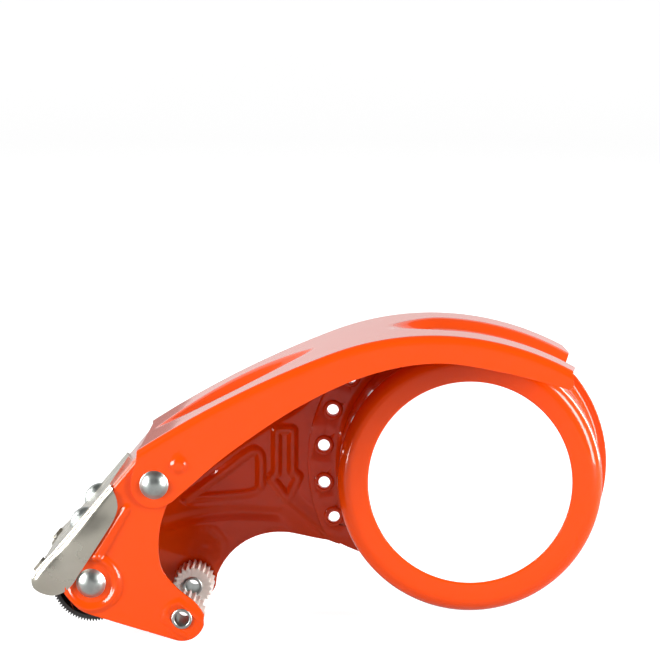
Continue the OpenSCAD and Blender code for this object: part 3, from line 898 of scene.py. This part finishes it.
for name, side in (("left", -1), ("right", 1)):
    wheel = bmesh.new()
    shaped_stack(wheel, WHEEL_LAYERS, WHEEL_TEETH * 10, wheel_radius)
    across(wheel, wheel.verts[:], WHEEL, side)
    finish_piece("wheel_" + name, wheel, "guide_wheel_" + name, nylon,
                 ["guide_wheel_" + name], 35)

    eyelet = bmesh.new()
    across(eyelet, spin_ring(eyelet, EYELET, 64, closed=True), WHEEL, side)
    finish_piece("eyelet_" + name, eyelet, "frame", zinc,
                 ["guide_eyelet_" + name], 50)


# ---------------------------------------------------------------- floor, light and camera
floor_material, floor_tree, floor_place, floor_shader = start_material("matt_white_paper")
paper = add(floor_tree, "ShaderNodeTexNoise", inputs={"Vector": floor_place, "Scale": 3.0})
paper_mix = add(floor_tree, "ShaderNodeMix", {"data_type": "RGBA"}, {
    "Factor": paper.outputs["Fac"], "A": colour("#A8A8A8"), "B": colour("#ABABAB")})
seen = add(floor_tree, "ShaderNodeLightPath").outputs["Is Camera Ray"]
# The paper looks brighter to the camera than the light that it throws back at the tool.
paper_glow = add(floor_tree, "ShaderNodeMapRange", inputs={
    "Value": seen, "To Min": 0.12, "To Max": 0.9})
set_inputs(floor_tree, floor_shader, {
    "Base Color": paper_mix.outputs["Result"], "Roughness": 0.9, "Specular IOR Level": 0.1,
    "Emission Color": colour("#FFFFFF"), "Emission Strength": paper_glow.outputs["Result"]})

stage = bmesh.new()
low = cad_box[0].z
# In metres: the flat floor's radius, and the radius of the curve that it rises on.
FLOOR_R = 2.2
CURVE_R = 1.2
SWEEP = [(0.0, low), (FLOOR_R, low)]
SWEEP += [(FLOOR_R + CURVE_R * math.sin(a), low + CURVE_R * (1 - math.cos(a)))
          for a in [math.pi / 2 * i / 12 for i in range(1, 11)]]
spin_ring(stage, SWEEP, 96)
stage_mesh = bpy.data.meshes.new("paper_sweep")
stage.normal_update()
if stage.faces[0].normal.z < 0:
    bmesh.ops.reverse_faces(stage, faces=stage.faces)
stage.to_mesh(stage_mesh)
stage.free()
stage_mesh.shade_smooth()
stage_mesh.materials.append(floor_material)
floor = bpy.data.objects.new("paper_sweep", stage_mesh)
bpy.context.scene.collection.objects.link(floor)

world = bpy.data.worlds.new("studio")
bpy.context.scene.world = world
world.use_nodes = True
world.node_tree.nodes["Background"].inputs["Color"].default_value = (1.0, 1.0, 1.0, 1.0)
world.node_tree.nodes["Background"].inputs["Strength"].default_value = 0.12


def softbox(name, angle, rise, far, width, height, power):
    """A rectangular softbox that faces the tool: its angle is taken from the open side,
    and its distance and sizes are in metres."""
    data = bpy.data.lights.new(name, "AREA")
    data.shape = "RECTANGLE"
    data.size = width
    data.size_y = height
    data.energy = power
    lamp = bpy.data.objects.new(name, data)
    a = math.radians(angle)
    e = math.radians(rise)
    spot = Vector((math.sin(a) * math.cos(e), -math.cos(a) * math.cos(e), math.sin(e)))
    lamp.location = Vector((-0.04, 0.0, 0.0)) + far * spot
    lamp.rotation_mode = "QUATERNION"
    lamp.rotation_quaternion = (-spot).to_track_quat("-Z", "Y")
    lamp.visible_camera = False
    bpy.context.scene.collection.objects.link(lamp)


softbox("front_left", -63, 10, 1.25, 0.4, 1.15, 29.0)
softbox("front_right", 63, 10, 1.25, 0.4, 1.15, 29.0)
softbox("rear_left", -116, 10, 1.25, 0.3, 1.15, 14.0)
softbox("rear_right", 122, 10, 1.25, 0.3, 1.15, 20.0)
softbox("rear_panel", 180, 20, 1.75, 4.0, 1.2, 8.0)

data = bpy.data.cameras.new("camera")
data.lens = 158.28
data.sensor_width = 36.0
data.clip_start = 0.05
data.clip_end = 50.0
camera = bpy.data.objects.new("camera", data)
bpy.context.scene.collection.objects.link(camera)
TARGET = Vector((-0.04732, 0.0, -0.00152))
azimuth = math.radians(1.97)
elevation = math.radians(10.32)
back = Vector((math.sin(azimuth) * math.cos(elevation), -math.cos(azimuth) * math.cos(elevation),
               math.sin(elevation)))
DISTANCE = 0.82616
camera.location = TARGET + DISTANCE * back
camera.rotation_mode = "QUATERNION"
look = (-back).to_track_quat("-Z", "Y").to_matrix()
raise_view = Matrix.Rotation(math.radians(3.0), 3, "X")
turn_view = Matrix.Rotation(math.radians(-0.537), 3, "Y")
look = look @ raise_view @ turn_view
camera.rotation_quaternion = look.to_quaternion()
bpy.context.scene.camera = camera
bpy.context.scene.view_settings.view_transform = "Standard"
